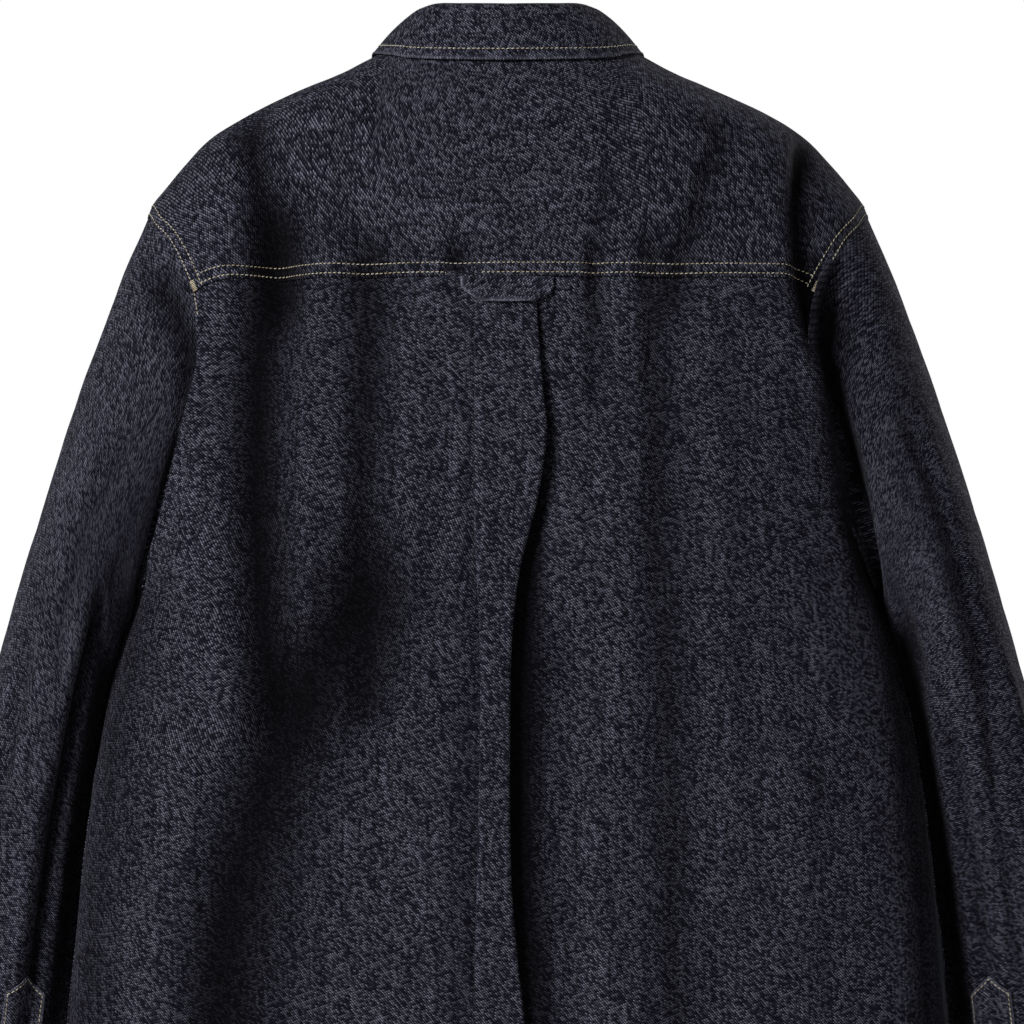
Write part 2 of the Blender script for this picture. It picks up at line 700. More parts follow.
def sewing(name, rows):
    """One mesh of small rounded stitches for a piece's rows of sewing."""
    n = STITCH_SIDES
    turn = np.arange(n) * 2 * np.pi / n
    ring = np.stack([np.cos(turn), np.sin(turn)], 1)
    shape = [(-1, 0, 0)] + [(-0.55, a, b) for a, b in ring] + [(0.55, a, b) for a, b in ring] + [(1, 0, 0)]
    shape = np.array(shape) * 0.5
    around = [(k, (k + 1) % n) for k in range(n)]
    faces = [(0, 1 + b, 1 + a) for a, b in around]
    faces += [(1 + a, 1 + b, 1 + n + b, 1 + n + a) for a, b in around]
    faces += [(1 + n + a, 1 + n + b, 1 + 2 * n) for a, b in around]
    stitches = []
    for centre, t, b, up, (long, wide, tall) in rows:
        lengthwise = t[:, None] * (shape[:, 0] * long)[:, None]
        sideways = b[:, None] * (shape[:, 1] * wide)[:, None]
        upright = up[:, None] * (shape[:, 2] * tall + STITCH_RISE)[:, None]
        stitches.append(centre[:, None] + lengthwise + sideways + upright)
    places = np.concatenate(stitches).reshape(-1, 3) * MM
    corners = np.concatenate([np.array(face) for face in faces])
    first = np.arange(0, len(places), len(shape))[:, None]
    counts = np.tile([len(face) for face in faces], len(first))
    mesh = new_mesh(name, places, (first + corners).ravel(), np.cumsum(counts) - counts)
    return new_piece(name, mesh, "thread", thread)


back_rows = [stitched(*edge_row(back_surface, "bottom", HEM_ROW, CLOTH))]
for side in ("left", "right"):
    line, normal = edge_row(back_surface, side, SIDE_ROW, CLOTH)
    shown = (line[:, 2] < YOKE_Z - BELOW_YOKE) & (line[:, 2] > ROW_END[side])
    back_rows.append(stitched(line[shown], normal[shown]))
sewing("back_sewing", back_rows)


# Yoke: one piece of denim over both shoulders, its grain turned a quarter round. Its turned-under
# lower edge laps the back and is sewn down with a twin row, with a bar tack at each end.
SHOULDER_EDGE = table(
    "angle x",
    (-20, 205),
    (0, 214.5),
    (25, 225.5),
    (50, 237.5),
    (90, 244),
    (130, 237.5),
    (155, 225.5),
    (180, 214.5),
)
NECK = {"half": 75, "back": 59, "front": 93}
SEAM_NECK_TURN = 102
SEAM_ARM_ANGLE = 122
YOKE_ROWS = 90
YOKE_COLUMNS = 171
YOKE_THICK = 1.2
TWIN_ROWS = (2.2, 8.6)
ARMHOLE_ROWS = (1.6, 8.2)
SHOULDER_ROW = 2.2
SHOULDER_PART = 0.26
TACK = {"stitches": 7, "step": 1.15, "above": 2.5, "inward": 0.4, "lift": 0.85, "half": 2.2}
HALVINGS = 34


def farthest(near, far, fits):
    """Last place between two bounds that still fits, found by halving."""
    for _ in range(HALVINGS):
        middle = (near + far) / 2
        inside = fits(middle)
        near = np.where(inside, middle, near)
        far = np.where(inside, far, middle)
    return near


def in_body(x, y, z, behind):
    half, depth = section(z, behind)
    return abs(x / half) ** SQUARE + abs(y / depth) ** SQUARE < 1


def cap_reach(x, angle):
    """Distance of the shoulder cloth from the line at CAP_Z, in the upright plane at x, by its angle."""
    s, c = swing(angle)
    near = np.zeros(np.broadcast(x, angle).shape)

    def fits(r):
        z = CAP_Z + r * s
        return (z < CAP_TOP) & in_body(x, r * c, z, c >= 0)

    return farthest(near, near + CAP_REACH, fits)


def cap_point(x, angle):
    s, c = swing(angle)
    r = cap_reach(x, angle)
    return join(x, r * c, CAP_Z + r * s)


def cap_angle(p):
    return np.degrees(np.arctan2(p[..., 2] - CAP_Z, p[..., 1]))


def shoulder_edge(angle):
    return smooth(SHOULDER_EDGE, "angle", "x", angle)


def neck_point(turn):
    """Neck seam on the shoulder cloth, by its turn from the centre back."""
    s, c = swing(turn)
    x = NECK["half"] * s
    y = np.where(c >= 0, NECK["back"], NECK["front"]) * c
    low = np.full(np.shape(turn), float(CAP_Z))
    high = np.full(np.shape(turn), float(CAP_TOP))
    return join(x, y, farthest(low, high, lambda z: in_body(x, y, z, c >= 0)))


def neck_place(turn):
    """The same as a share of the armhole's distance, and the angle over the shoulder."""
    p = neck_point(np.asarray(turn, float))
    angle = cap_angle(p)
    return p[..., 0] / shoulder_edge(angle), angle


def upper_edge(w, neck_part, first_turn, neck_turn=SEAM_NECK_TURN):
    """Upper edge of a panel: the neck seam for the first part of w, then the shoulder seam."""
    on_neck = np.clip(w / neck_part, 0, 1)
    share, angle = neck_place(lerp(first_turn, neck_turn, on_neck))
    t = np.clip((w - neck_part) / (1 - neck_part), 0, 1)
    return lerp(share, 1, t), lerp(angle, SEAM_ARM_ANGLE, t)


def yoke_grid():
    """Surface of the yoke, and the share of its dye that the cloth has kept."""
    w = np.linspace(1, -1, YOKE_COLUMNS)
    top_share, top_angle = upper_edge(abs(w), 0.46, 0)
    x = ARM_X * w
    low_angle = cap_angle(ring_point(turn_at(x, yoke_seam(x)), yoke_seam(x)))
    v = np.linspace(0, 1, YOKE_ROWS)[:, None]
    angle = lerp(top_angle, low_angle, v)
    share = lerp(top_share * np.sign(w), w, v)
    grid = cap_point(share * shoulder_edge(angle), angle)
    above = grid[..., 2] - yoke_seam(grid[..., 0])
    behind = grid[..., 1] > 0
    hem = 0.35 + 0.35 * ease(1 - (above - 9) / 4) * behind
    behind = behind * ease(grid[..., 1] / 40)
    folds, kept = fold_depth(BACK_FOLDS, grid[..., 0], grid[..., 2])
    folds = (folds + back_wave(grid[..., 0], grid[..., 2])) * behind
    wave = 0.4 * ripples(grid[..., 0] * 0.6, grid[..., 2], 44, 21) * ease(above / 40)
    pucker = 0.22 * ripples(grid[..., 0], grid[..., 2] * 0.1, 8, 23) * np.exp(-((above / 14) ** 2))
    ditch = -0.28 * sum(np.exp(-(((above - row) / 1.0) ** 2)) for row in TWIN_ROWS)
    return moved(grid, hem + folds + wave + pucker + ditch), kept * behind


yoke_surface, yoke_shade = yoke_grid()
yoke_grain = grain_of(yoke_surface, True)
yoke_piece = shell("yoke_panel", yoke_surface, yoke_grain, YOKE_THICK, inside=cloth_outside, kept=yoke_shade)
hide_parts("yoke")

yoke_rows = [stitched(*edge_row(yoke_surface, "bottom", row, YOKE_THICK), spare=7) for row in TWIN_ROWS]
for side in ("left", "right"):
    for row in ARMHOLE_ROWS:
        line, normal = edge_row(yoke_surface, side, row, YOKE_THICK)
        yoke_rows.append(stitched(line, normal, spare=1))
line, normal = edge_row(yoke_surface, "top", SHOULDER_ROW, YOKE_THICK)
place = np.arange(len(line)) / len(line)
for part in (place < SHOULDER_PART, place > 1 - SHOULDER_PART):
    yoke_rows.append(stitched(line[part], normal[part], spare=3))
yoke_out = outward(yoke_surface)
for column, inner in ((1, 4), (-2, -5)):
    corner = yoke_surface[-2, column]
    out = yoke_out[-2, column]
    across = unit(corner - yoke_surface[-2, inner])
    down = unit(corner - yoke_surface[-7, column])
    for k in range(TACK["stitches"]):
        drop = k * TACK["step"] - TACK["above"]
        centre = corner + across * TACK["inward"] - down * drop + out * TACK["lift"]
        line = np.array([centre - across * TACK["half"], centre + across * TACK["half"]])
        yoke_rows.append(stitched(line, np.array([out, out]), pitch=4.2, size=(4.6, 0.8, 0.7), slant=0.1))
sewing("yoke_sewing", yoke_rows)


# Fronts: two panels that meet at the centre, the wearer's left lapping the right, hemmed like the
# back and caught in the yoke, the armholes and the side seams.
FRONT_LAP = 17
UNDER_FROM = 45
UNDER_DEPTH = 2.1
FRONT_COLUMNS = 110
FRONT_TOP_ROWS = 46
FRONT_ROWS = 130
FRONT_FOLDS = table(
    "x0 z0 x1 z1 x2 z2 width depth kept",
    (150, -120, 130, -260, 105, -400, 16, -10, 0.6),
    (176, -140, 168, -250, 150, -400, 14, 4, 0),
    (62, -330, 70, -500, 85, -740, 17, -8, 0.45),
    (40, -380, 44, -520, 50, -740, 13, 3.5, 0),
    (120, -420, 150, -560, 165, -740, 23, -12, 0.7),
    (208, -380, 215, -520, 228, -705, 19, -8, 0.5),
    (100, -470, 116, -580, 124, -730, 15, 5, 0),
    (186, -420, 192, -560, 198, -740, 14, 5, 0),
    (205, -300, 185, -370, 150, -440, 12, -4, 0.3),
    (60, -150, 56, -240, 52, -330, 13, -3, 0.25),
)


def front_grid(first_x, last_x, columns, seed=31):
    """Wearer's left front, or the strip of it between two distances from the middle, the lift of its
    folds, and the share of its dye that the cloth has kept."""
    w = np.linspace(0, 1, columns)
    lap = np.degrees(np.arcsin(first_x / NECK["half"]))
    if last_x is None:
        share, angle = upper_edge(w, 0.44, 180 - lap)
    else:
        share, angle = neck_place(180 - np.degrees(np.arcsin(lerp(first_x, last_x, w) / NECK["half"])))

    def turn(z):
        if last_x is None:
            return lerp(180 - turn_at(first_x, CAP_Z), 180 - edge_turn(z), w)
        return 180 - turn_at(lerp(first_x, last_x, w), z)

    v = np.linspace(0, 1, FRONT_TOP_ROWS)[:-1, None]
    low = ring_point(turn(CAP_Z), CAP_Z)[..., 0] / shoulder_edge(180)
    angles = lerp(angle, 180, v)
    upper = cap_point(lerp(share, low, v) * shoulder_edge(angles), angles)
    v = np.linspace(0, 1, FRONT_ROWS)[:, None]
    degrees = turn(lerp(CAP_Z, HEM_SIDE, v))
    lower = ring_point(degrees, lerp(CAP_Z, hem_at(180 - degrees), v))
    grid = np.concatenate([upper, lower])
    x, z = grid[..., 0], grid[..., 2]
    wave = 0.9 * ripples(x, z * 0.35, 42, seed) + 0.3 * ripples(x, z * 0.5, 15, seed + 1)
    folds, kept = fold_depth(FRONT_FOLDS, x, z)
    return grid, folds + wave * ease((abs(x) - 20) / 40), kept


def mirrored(grid):
    return (grid * (-1, 1, 1))[:, ::-1]


left_base, left_relief, left_shade = front_grid(-FRONT_LAP, None, FRONT_COLUMNS)
left_front = moved(left_base, left_relief)
right_base, right_relief, right_shade = front_grid(-FRONT_LAP, None, FRONT_COLUMNS, 37)
under = UNDER_DEPTH * ease((UNDER_FROM - right_base[..., 0]) / (UNDER_FROM - FRONT_LAP))
right_front = mirrored(moved(right_base, right_relief * 0.9 - under))
for name, surface, shade, seam_side in (
    ("front_left", left_front, left_shade, "right"),
    ("front_right", right_front, right_shade[:, ::-1], "left"),
):
    piece = shell(name + "_panel", surface, grain_of(surface), CLOTH, worn=("bottom",), kept=shade)
    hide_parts(name)
    rows = [stitched(*edge_row(surface, "bottom", HEM_ROW, CLOTH))]
    line, normal = edge_row(surface, seam_side, SIDE_ROW, CLOTH)
    upper_part = line[:, 2] > UNDERARM
    rows.append(stitched(line[upper_part], normal[upper_part]))
    sewing(name + "_sewing", rows)


# Front band: a strip of two layers along the left front's edge, with one row of sewing inside each of
# its edges.
BAND_LIFT = 1.5
BAND_THICK = 1.3
BAND_ROW = 4

band_base, band_relief, _ = front_grid(-FRONT_LAP, FRONT_LAP, 21)
band_surface = moved(band_base, BAND_LIFT + band_relief)
band_grain = grain_of(band_surface)
band_piece = shell("front_band", band_surface, band_grain, BAND_THICK, worn=("left", "right", "bottom"))
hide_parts("front_placket")
sewing("band_sewing", [
    stitched(*edge_row(band_surface, side, BAND_ROW, BAND_THICK)) for side in ("left", "right")
])


# Sleeves: one piece each, sewn to a tube that hangs from the armhole, with long folds down the arm
# and a few drag lines below the shoulder. A hollow runs along each armhole seam behind.
SLEEVE_SQUARE = 2.15
SLEEVE = table(
    "along outX outZ inX inZ back front forward",
    (0, 244, -107, 253, -358, 60, 62, 0),
    (0.08, 262, -150, 254, -370, 64, 64, 2),
    (0.2, 287, -214, 258, -386, 68, 66, 14),
    (0.33, 311, -284, 264.5, -410, 69, 68, 22),
    (0.46, 332, -352, 270.5, -443, 67, 66, 28),
    (0.6, 354, -428, 277.5, -490, 62, 61, 33),
    (0.74, 374, -512, 285.5, -545, 56, 56, 36),
    (0.88, 391, -598, 292.5, -612, 50, 50, 38),
    (1, 401, -660, 300, -672, 38, 36, 39),
)
SLEEVE_LENGTH = 560
SIDE_CLEAR = 1.1
SIDE_CLEAR_OVER = 6
ARMHOLE_BLEND = 0.3
SLEEVE_ROWS = 170
SLEEVE_COLUMNS = 128
SLEEVE_TUCK = 6
GROOVE = table(
    "side along late width depth kept start end",
    (1, 0.066, -0.01, 0.024, -9, 0.85, 15, 105),
    (1, 0.008, 0.008, 0.012, -3, 0.3, 90, 190),
    (-1, 0.022, 0.03, 0.05, -12, 1.0, 30, 225),
)
LEFT_FOLDS = table(
    "turn start end twist width depth kept",
    (122, 0.26, 1.05, -6, 9, -12, 0.95),
    (144, 0.3, 1.05, 0, 16, -5, 0.9),
    (112, -0.1, 0.42, 14, 34, -2, 0.5),
    (110, 0.1, 0.5, -16, 10, 3, 0),
    (78, 0.1, 0.55, 12, 9, -5, 0.3),
    (58, 0.46, 0.98, 20, 9, -6, 0.3),
    (96, 0.6, 0.98, 8, 7, 3, 0),
    (235, 0.15, 0.6, 12, 11, -6, 0.4),
    (285, 0.35, 0.98, -16, 9, -6, 0.4),
    (318, 0.08, 0.5, 14, 9, -4, 0.3),
)
RIGHT_FOLDS = table(
    "turn start end twist width depth kept",
    (150, 0.2, 1.05, -8, 17, -7, 0.97),
    (138, 0.1, 0.5, -24, 9, -4, 0.3),
    (116, 0.5, 0.99, -12, 9, -7, 0.45),
    (96, 0.06, 0.72, -18, 9, 4, 0),
    (62, 0.12, 0.6, 14, 9, -5, 0.25),
    (80, 0.55, 0.98, 10, 8, -5, 0.25),
    (44, 0.5, 0.95, 16, 9, 4, 0),
    (235, 0.15, 0.6, 12, 11, -6, 0.4),
    (280, 0.35, 0.98, -16, 9, -6, 0.4),
    (316, 0.08, 0.5, 14, 9, -4, 0.3),
)
SLEEVE_SIDES = (("left", 1, LEFT_FOLDS, 41), ("right", -1, RIGHT_FOLDS, 47))


def armhole_point(z, behind, inside=0.0):
    """Armhole seam at a height, or a place on the body a little inside it."""
    turn = turn_at(smooth(ARM_EDGE, "z", "x", z) - inside, z)
    lower = ring_point(np.where(behind, turn, 180 - turn), z)
    share = np.clip((z - CAP_Z) / (ARM_TOP_Z - CAP_Z), 0, 1)
    rise = np.degrees(np.arcsin(share ** ARM_ROUND))
    angle = np.where(behind, rise, 180 - rise)
    upper = cap_point(shoulder_edge(angle) - inside, angle)
    return np.where((z <= CAP_Z)[..., None], lower, upper)


def clear_of_side(p):
    """Sleeve moved out until it clears the side of the body below the underarm."""
    x, y, z = np.moveaxis(p, -1, 0)
    half, depth = section(z, y >= 0)
    side = half * np.maximum(1 - abs(y / depth) ** SQUARE, 0) ** (1 / SQUARE)
    clearance = SIDE_CLEAR * ease((UNDERARM - z) / SIDE_CLEAR_OVER)
    return join(np.where(clearance > 0, np.maximum(x, side + clearance), x), y, z)


def oval(row, turn):
    """Ring of a sleeve or cuff: 0 degrees is outside, 90 behind."""
    s, c = swing(turn)
    r = (abs(s) ** SLEEVE_SQUARE + abs(c) ** SLEEVE_SQUARE) ** (-1 / SLEEVE_SQUARE)
    x = (row["outX"] + row["inX"]) / 2 + (row["outX"] - row["inX"]) / 2 * r * c
    z = (row["outZ"] + row["inZ"]) / 2 + (row["outZ"] - row["inZ"]) / 2 * r * c
    return join(x, np.where(s >= 0, row["back"], row["front"]) * r * s - row["forward"], z)


def sleeve_point(along, turn):
    row = {name: smooth(SLEEVE, "along", name, along) for name in SLEEVE if name != "along"}
    first = {name: values[0] for name, values in SLEEVE.items()}
    start = oval(first, turn + 0 * along)
    seam = armhole_point(start[..., 2], swing(turn + 0 * along)[0] >= 0)
    blend = np.broadcast_to(np.clip(1 - along / ARMHOLE_BLEND, 0, 1) ** 2, start.shape[:-1])
    return clear_of_side(oval(row, turn) + (seam - start) * blend[..., None])


def sleeve_folds(folds, along, turn):
    """Depth of a sleeve's folds and of the groove beside its armhole seam, and the dye kept in them."""
    shapes = []
    for side, middle, late, width, depth, kept, start, end in zip(*GROOVE.values()):
        if (folds is LEFT_FOLDS) == (side > 0):
            path = lerp(middle, late, np.clip((turn - start) / (end - start), 0, 1))
            ends = ease((turn - start) / 30) * ease((end - turn) / 30)
            shapes.append((np.exp(-(((along - path) / width) ** 2)) * ends, depth, kept))
    for middle, start, end, twist, width, depth, kept in zip(*folds.values()):
        path = middle + twist * (along - start)
        ends = ease((along - start) / 0.1) * ease((end - along) / 0.1)
        shapes.append((np.exp(-(((turn - path) / width) ** 2)) * ends, depth, kept))
    total = sum(depth * shape for shape, depth, _ in shapes)
    return total * side_rest(turn), 1 - math.prod(1 - kept * shape for shape, _, kept in shapes)


def side_rest(turn):
    """0 where a sleeve rests against the side of the body, 1 elsewhere."""
    return 1 - np.exp(-(((turn - 180) / 26) ** 2))


def sleeve_wave(along, turn, seed):
    behind, around = (60 * part for part in swing(turn))
    wave = 1.1 * ripples(around + behind * 0.4, along * 150 + behind * 0.3, 40, seed)
    wave = wave + 0.4 * ripples(around - behind * 0.5, along * 260 + behind, 17, seed + 1)
    return wave * side_rest(turn) * ease(along / 0.08) * ease((1 - along) / 0.05)


def sleeve_grid(folds, seed):
    """Surface of a left sleeve, its first ring tucked into the armhole, and its share of kept dye."""
    turn = np.linspace(0, 360, SLEEVE_COLUMNS, endpoint=False)[None, :]
    along = np.linspace(0, 1, SLEEVE_ROWS)[:, None] ** 1.15
    depth, shade = sleeve_folds(folds, along, turn)
    grid = moved(sleeve_point(along, turn), depth + sleeve_wave(along, turn, seed), True)
    start = oval({name: values[0] for name, values in SLEEVE.items()}, turn[0])
    behind = swing(turn[0])[0] >= 0
    tuck = armhole_point(start[:, 2], behind, SLEEVE_TUCK)
    tuck[:, 1] *= 1 - 1.8 / np.maximum(abs(tuck[:, 1]), 20)
    tuck[:, 2] -= 1.6 * (tuck[:, 2] > -130)
    grid[0] = armhole_point(start[:, 2], behind) * (1, 0.985, 1) - (0.4, 0, 0.5)
    return np.concatenate([tuck[None], grid]), np.concatenate([shade[:1], shade])


for name, side, folds, seed in SLEEVE_SIDES:
    tube, shade = sleeve_grid(folds, seed)
    if side < 0:
        tube = mirrored(tube)
        shade = shade[:, ::-1]
    tube_grain = grain_of(tube, closed=True)
    piece = shell(f"sleeve_{name}_tube", tube, tube_grain, CLOTH, closed=True, kept=shade)
    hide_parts(f"sleeve_{name}")


# Cuffs: a band of two layers round each wrist, lapped and buttoned behind, with a twin row along
# the sleeve's seam and one row at its lower edge.
CUFF = {"outX": 402, "outZ": -723, "inX": 308, "inZ": -734, "back": 36, "front": 34, "forward": 40}
CUFF_LAP_TURN = 112
CUFF_LAP = 17
CUFF_SHIFT = 1.0
CUFF_EASE = 0.7
CUFF_THICK = 1.7
CUFF_ROWS = (1.8, 8.0)
CUFF_LOW_ROW = 3.5


def cuff_grid():
    u = np.linspace(0, 1, 121)[None, :]
    v = np.linspace(0, 1, 34)[:, None]
    seam = {name: values[-1] for name, values in SLEEVE.items() if name != "along"}
    shift = CUFF_SHIFT * (ease((u - 0.86) / 0.1) - ease((0.14 - u) / 0.1)) + CUFF_EASE
    row = {name: lerp(seam[name], CUFF[name], v) + shift for name in ("outX", "back", "front")}
    row["inX"] = lerp(seam["inX"], CUFF["inX"], v) - shift
    row["forward"] = lerp(seam["forward"], CUFF["forward"], v)
    for name in ("outZ", "inZ"):
        row[name] = lerp(seam[name], CUFF[name], v * 1.03 - 0.03) + 0 * shift
    grid = oval(row, CUFF_LAP_TURN - CUFF_LAP / 2 + u * (360 + CUFF_LAP) + 0 * v)
    return moved(grid, 0.35 * ripples(u * 260, v * 20, 34, 51))


for name, side, _, _ in SLEEVE_SIDES:
    cuff = cuff_grid() if side > 0 else mirrored(cuff_grid())
    cuff_grain = grain_of(cuff, True)
    edges = ("top", "bottom")
    piece = shell(f"cuff_{name}_band", cuff, cuff_grain, CUFF_THICK, worn=edges, inside=cloth_outside)
    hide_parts(f"cuff_{name}")
    rows = [stitched(*edge_row(cuff, "top", row, CUFF_THICK)) for row in CUFF_ROWS]
    rows.append(stitched(*edge_row(cuff, "bottom", CUFF_LOW_ROW, CUFF_THICK)))
    sewing(f"cuff_{name}_sewing", rows)


# Sleeve plackets: a pointed strip over the slit above each cuff, with one row of sewing inside its
# edges and its point.
PLACKET = {"half": 12, "length": 50, "point": 12, "lift": 1.9}
PLACKET_THICK = 1.1
PLACKET_ROW = 1.8
PLACKET_ROUND = 260


def placket_grid(folds, seed):
    v = np.linspace(0, 1, 40)[:, None]
    side = np.linspace(-1, 1, 17)[None, :]
    top = (PLACKET["length"] - PLACKET["point"] * abs(side) * (1 - v)) * (1 - v)
    along = 1 - top / SLEEVE_LENGTH
    turn = CUFF_LAP_TURN + side * PLACKET["half"] * 360 / PLACKET_ROUND + 0 * v
    base = sleeve_point(along, turn)
    return moved(base, sleeve_folds(folds, along, turn)[0] + sleeve_wave(along, turn, seed) + PLACKET["lift"])


for name, side, folds, seed in SLEEVE_SIDES:
    strip = placket_grid(folds, seed) if side > 0 else mirrored(placket_grid(folds, seed))
    piece = shell(f"placket_{name}", strip, grain_of(strip), PLACKET_THICK, worn=("left", "right", "top"))
    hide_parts(f"sleeve_placket_{name}")
    rows = [
        stitched(*edge_row(strip, edge, PLACKET_ROW, PLACKET_THICK), spare=1)
        for edge in ("left", "right", "top")
    ]
    sewing(f"placket_{name}_sewing", rows)


# Collar leaf: two layers turned down from a fold line round the neck, whose edge lies on the
# shoulders, with one row of sewing inside that edge.
FOLD_LINE = {"half": 63, "back": 57, "front": 84}
COLLAR = table(
    "turn foldZ edgeX edgeY edgeZ",
    (0, 34.5, 0, 73, -3),
    (30, 35.2, 46, 67, -2),
    (52, 35.8, 72, 51, 0),
    (75, 32.5, 88, 24, 2),
    (92, 27, 92, -4, 3),
    (120, 14, 91, -50, -8),
    (148, -12, 84, -84, -50),
    (172, -44, 66, -108, -112),
)
LEAF_TURN = 172
LEAF_BULGE = 4
LEAF_CLEAR = 2.9
LEAF_THICK = 1.7
LEAF_ROLL = 1.4
COLLAR_ROW = 6.8


def fold_line(turn, inset=0.0):
    s, c = swing(turn)
    depth = np.where(c >= 0, FOLD_LINE["back"], FOLD_LINE["front"]) - inset
    return join((FOLD_LINE["half"] - inset) * s, depth * c, smooth(COLLAR, "turn", "foldZ", abs(turn)))


def clear_of_cap(p, clearance):
    angle = cap_angle(p)
    reach = np.hypot(p[..., 1], p[..., 2] - CAP_Z)
    wanted = np.maximum(reach, cap_reach(p[..., 0], angle) + clearance)
    return join(p[..., 0], p[..., 1] * wanted / reach, CAP_Z + (p[..., 2] - CAP_Z) * wanted / reach)


def level_out(p, distance):
    flat = unit(p * (1, 1, 0))
    return p + flat * np.asarray(distance)[..., None]


def leaf_grid():
    v = np.linspace(0, 1, 46)[:, None]
    turn = LEAF_TURN * np.linspace(1, -1, 201)[None, :]
    row = {name: smooth(COLLAR, "turn", name, abs(turn)) for name in ("edgeX", "edgeY", "edgeZ")}
    edge = join(np.sign(turn) * row["edgeX"], row["edgeY"], row["edgeZ"])
    top = fold_line(turn)
    p = top + (edge - top) * v[..., None]
    p = level_out(p, LEAF_BULGE * np.sin(np.pi * v ** 0.7) + 0 * turn)
    lifted = clear_of_cap(p, LEAF_CLEAR)
    p = lerp(p, lifted, ease((v - 0.2) / 0.2)[..., None])
    p = level_out(p, -LEAF_ROLL * ease(1 - v / 0.05) + 0 * turn)
    wave = 0.5 * ripples(turn * 1.1, v * 40, 40, 61) * ease(v / 0.3)
    return moved(p, wave)


leaf = leaf_grid()
leaf_edges = ("left", "right", "bottom")
leaf_grain = grain_of(leaf, True)
leaf_piece = shell("collar_leaf", leaf, leaf_grain, LEAF_THICK, worn=leaf_edges, inside=cloth_outside)
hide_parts("collar")
sewing("collar_sewing", [
    stitched(*edge_row(leaf, edge, COLLAR_ROW, LEAF_THICK), spare=6) for edge in leaf_edges
])


# Collar stand: a band of two layers round the neck inside the leaf, whose ends lap and button at the
# throat.
STAND_LAP_TURN = 187
STAND_INSET = 2.1
STAND_DROP = 2.5
STAND_SEAM_IN = 2
STAND_SEAM_UP = 1.6
STAND_THICK = 1.5


def stand_grid():
    v = np.linspace(1, 0, 18)[:, None]
    turn = STAND_LAP_TURN * np.linspace(1, -1, 181)[None, :]
    top = fold_line(turn, STAND_INSET) - (0, 0, STAND_DROP)
    seam = level_out(neck_point(turn), -STAND_SEAM_IN + 0 * turn) + (0, 0, STAND_SEAM_UP)
    p = seam + (top - seam) * v[..., None]
    return level_out(p, (ease((turn - 160) / 15) - ease((-turn - 160) / 15)) + 0 * v)


stand = stand_grid()
stand_piece = shell("collar_stand_band", stand, grain_of(stand, True), STAND_THICK, inside=cloth_outside)
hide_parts("collar_stand")


# Hanger loop: a folded strap whose ends are caught in the yoke seam, so that it hangs as a shallow
# tongue over the pleat, paler along its lower edge.
LOOP = {"left": 31, "right": 30, "drop": 15.6, "straight": 5.2, "narrow": 13.2, "lift": 2.0, "stand": 4.6}
LOOP_BELOW_SEAM = 1.3
LOOP_THICK = 1.4


def loop_grid():
    v = np.linspace(0, 1, 34)[:, None]
    side = np.linspace(1, -1, 65)[None, :]
    fall = v * LOOP["drop"]
    over = np.clip((fall - LOOP["straight"]) / (LOOP["drop"] - LOOP["straight"]), 0, 1)
    left = LOOP["left"] - LOOP["narrow"] * over ** 1.5
    right = LOOP["right"] - LOOP["narrow"] * over ** 2.6
    x = side * np.where(side > 0, left, right)
    z = YOKE_Z - LOOP_BELOW_SEAM - fall + 0 * x
    out = LOOP["lift"] + LOOP["stand"] * ease((v - 0.38) / 0.6) * (1 - 0.4 * side ** 4)
    out = out + 0.2 * ripples(x, z, 12, 71)
    return ring_point(turn_at(x, z), z) + join(0, out, 0)


loop_surface = loop_grid()
loop_grain = grain_of(loop_surface, True) * (1, -1)
loop_piece = shell(
    "hanger_loop_strap", loop_surface, loop_grain, LOOP_THICK,
    worn=("left", "bottom"), inside=cloth_outside, wear=1.0,
)
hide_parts("hanger_loop")


# Buttons: dark horn-like resin, four holes in a dished face inside a raised rim, sewn on with two
# bars of thread. Seven close the front, one the stand and one each cuff.
BUTTON = {
    "radius": 8.5, "thick": 3.2, "rim": 1.6, "dish": 0.8, "wall": 0.6,
    "hole": 0.9 / 1.3, "spread": 1.9 / 1.41, "soft": 0.25,
}
CUFF_BUTTON_SCALE = 0.82
BUTTON_TOP_Z = -118
BUTTON_STEP = 84
BUTTON_COUNT = 7
SEAT_GAP = 0.3
STAND_SEAT = (9, 5)
CUFF_SEAT = (17, -7)
BUTTONHOLE = {"half": 10, "side": 1.5, "pitch": 0.85}
HOLE_STITCH = (1.9, 0.75, 0.6)


def horn_material():
    made, shader, base = new_material("horn")
    where = base.node("ShaderNodeTexCoord", None, None, 3)
    cloud = base.noise(where, 130.0, 4.0)
    bands = {"Vector": where, "Scale": 60.0, "Distortion": 9.0}
    vein = base.node("ShaderNodeTexWave", {"wave_type": "BANDS"}, bands)
    share = cloud.between(0.35, 0.7) * 0.6 + vein * 0.3
    colour = share.mix((0.012, 0.009, 0.008, 1), (0.085, 0.058, 0.038, 1))
    made.node_tree.links.new(colour.socket, shader.inputs["Base Color"])
    rough = cloud * 0.2 + 0.28
    made.node_tree.links.new(rough.socket, shader.inputs["Roughness"])
    return made


horn = horn_material()


def select_faces(mesh, test):
    """Leaves only the faces selected that pass a test."""
    for kind in (mesh.vertices, mesh.edges, mesh.polygons):
        kind.foreach_set("select", np.zeros(len(kind), bool))
    for face in mesh.polygons:
        face.select = test(face)


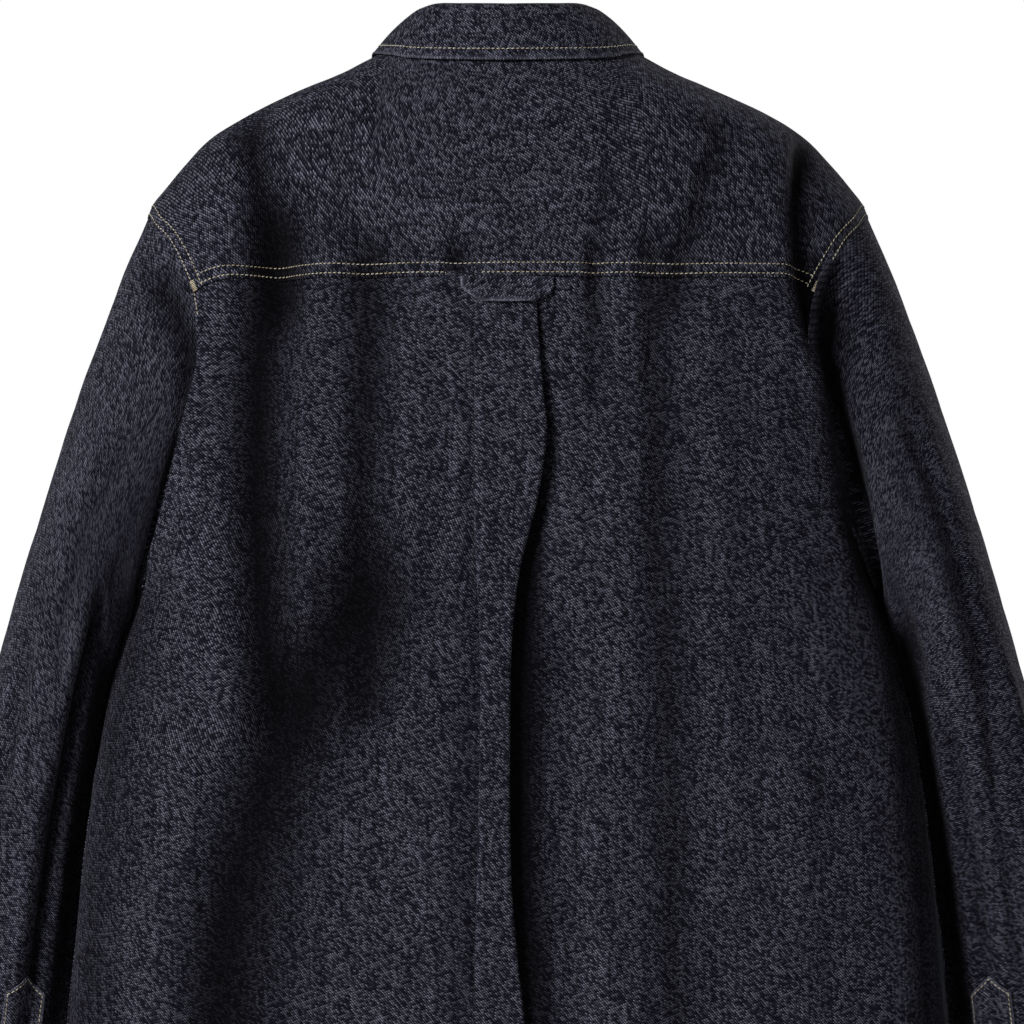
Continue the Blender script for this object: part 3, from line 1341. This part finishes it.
def button_master():
    """Button at real size about the origin, its back on the XY plane and its face up."""
    size = {name: value * MM for name, value in BUTTON.items()}
    bpy.ops.object.select_all(action="DESELECT")
    add_cylinder = bpy.ops.mesh.primitive_cylinder_add
    middle = (0, 0, size["thick"] / 2)
    add_cylinder(vertices=48, radius=size["radius"], depth=size["thick"], location=middle)
    made = bpy.context.object
    bpy.ops.object.transform_apply(location=True, rotation=False, scale=False)
    select_faces(made.data, lambda face: face.normal.z > 0.9)
    bpy.ops.object.mode_set(mode="EDIT")
    bpy.ops.mesh.select_mode(type="FACE")
    bpy.ops.mesh.inset(thickness=size["rim"])
    bpy.ops.mesh.inset(thickness=size["wall"])
    bpy.ops.transform.translate(value=(0, 0, -size["dish"]))
    bpy.ops.object.mode_set(mode="OBJECT")
    holes = []
    for x in (-1, 1):
        for y in (-1, 1):
            bpy.ops.object.select_all(action="DESELECT")
            place = (x * size["spread"], y * size["spread"], size["thick"] / 2)
            add_cylinder(vertices=14, radius=size["hole"], depth=0.01, location=place)
            holes.append(bpy.context.object)
    for hole in holes:
        bpy.ops.object.select_all(action="DESELECT")
        made.select_set(True)
        bpy.context.view_layer.objects.active = made
        cut = made.modifiers.new("hole", "BOOLEAN")
        cut.operation = "DIFFERENCE"
        cut.object = hole
        bpy.ops.object.modifier_apply(modifier=cut.name)
        bpy.data.objects.remove(hole, do_unlink=True)
    soft = made.modifiers.new("soft", "BEVEL")
    soft.width = size["soft"]
    soft.segments = 2
    soft.limit_method = "ANGLE"
    bpy.ops.object.modifier_apply(modifier=soft.name)
    bpy.ops.object.shade_smooth_by_angle(angle=math.radians(40))
    made.data.materials.append(horn)
    return made


master = button_master()


def add_button(name, node, seat, out, up, scale=1.0):
    """Copy of the button on the cloth, and the two bars of thread through its holes."""
    out = Vector(unit(out))
    right = Vector(up).cross(out).normalized()
    over = out.cross(right)
    place = Vector(seat) * MM + out * SEAT_GAP * MM
    turn = Matrix((right, over, out)).transposed().to_4x4()
    made = bpy.data.objects.new(name, master.data.copy())
    made.data.transform(Matrix.Translation(place) @ turn @ Matrix.Scale(scale, 4))
    bpy.context.collection.objects.link(made)
    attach(made, "root")
    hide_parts(node)
    face = np.array(place) / MM + np.array(out) * (BUTTON["thick"] - BUTTON["dish"]) * scale
    bars = []
    reach = BUTTON["spread"] * scale
    size = (2 * reach + 1, 0.6, 0.9)
    for x in (-reach, reach):
        for shift in (-0.3, 0.3):
            ends = [face + np.array(right) * (x + shift) + np.array(over) * y for y in (-reach, reach)]
            bars.append(stitched(np.array(ends), np.array([out, out]), 2 * reach, size, 0.05))
    sewing(name + "_thread", bars)


def hole_rows(seat, out, up):
    """Close stitches round a buttonhole that lies along up."""
    right = np.cross(up, out)
    pitch = BUTTONHOLE["pitch"]
    rows = []
    for way in (-1, 1):
        ends = [seat + right * way * BUTTONHOLE["side"] + up * y * BUTTONHOLE["half"] for y in (-1, 1)]
        line = np.linspace(*ends, 24)
        centre, t, b, n, _ = stitched(line, np.broadcast_to(out, line.shape), pitch, slant=0)
        rows.append((centre, b, -t, n, HOLE_STITCH))
    return rows


band_out = outward(band_surface)
middle = band_surface.shape[1] // 2
column = band_surface[:, middle]
holes = []
for k in range(BUTTON_COUNT):
    z = BUTTON_TOP_Z - k * BUTTON_STEP
    row = int(np.argmax(column[:, 2] < z))
    t = (z - column[row - 1, 2]) / (column[row, 2] - column[row - 1, 2])
    out = unit(lerp(band_out[row - 1, middle], band_out[row, middle], t))
    seat = lerp(column[row - 1], column[row], t) + out * BAND_THICK / 2
    up = unit(column[row - 1] - column[row])
    add_button(f"button_{k + 1}", f"front_button_{k + 1}", seat, out, up)
    holes += hole_rows(seat - up * 2, out, up)
sewing("buttonholes", holes)

out = outward(stand)[STAND_SEAT]
seat = stand[STAND_SEAT] + out * STAND_THICK / 2
add_button("button_collar", "collar_button", seat, out, (0, 0, 1), CUFF_BUTTON_SCALE)
for name, side, _, _ in SLEEVE_SIDES:
    cuff = cuff_grid()
    out = outward(cuff)[CUFF_SEAT] * (side, 1, 1)
    seat = cuff[CUFF_SEAT] * (side, 1, 1) + out * CUFF_THICK / 2
    add_button(f"button_cuff_{name}", f"cuff_button_{name}", seat, out, (0, 0, 1), CUFF_BUTTON_SCALE)
bpy.data.objects.remove(master, do_unlink=True)
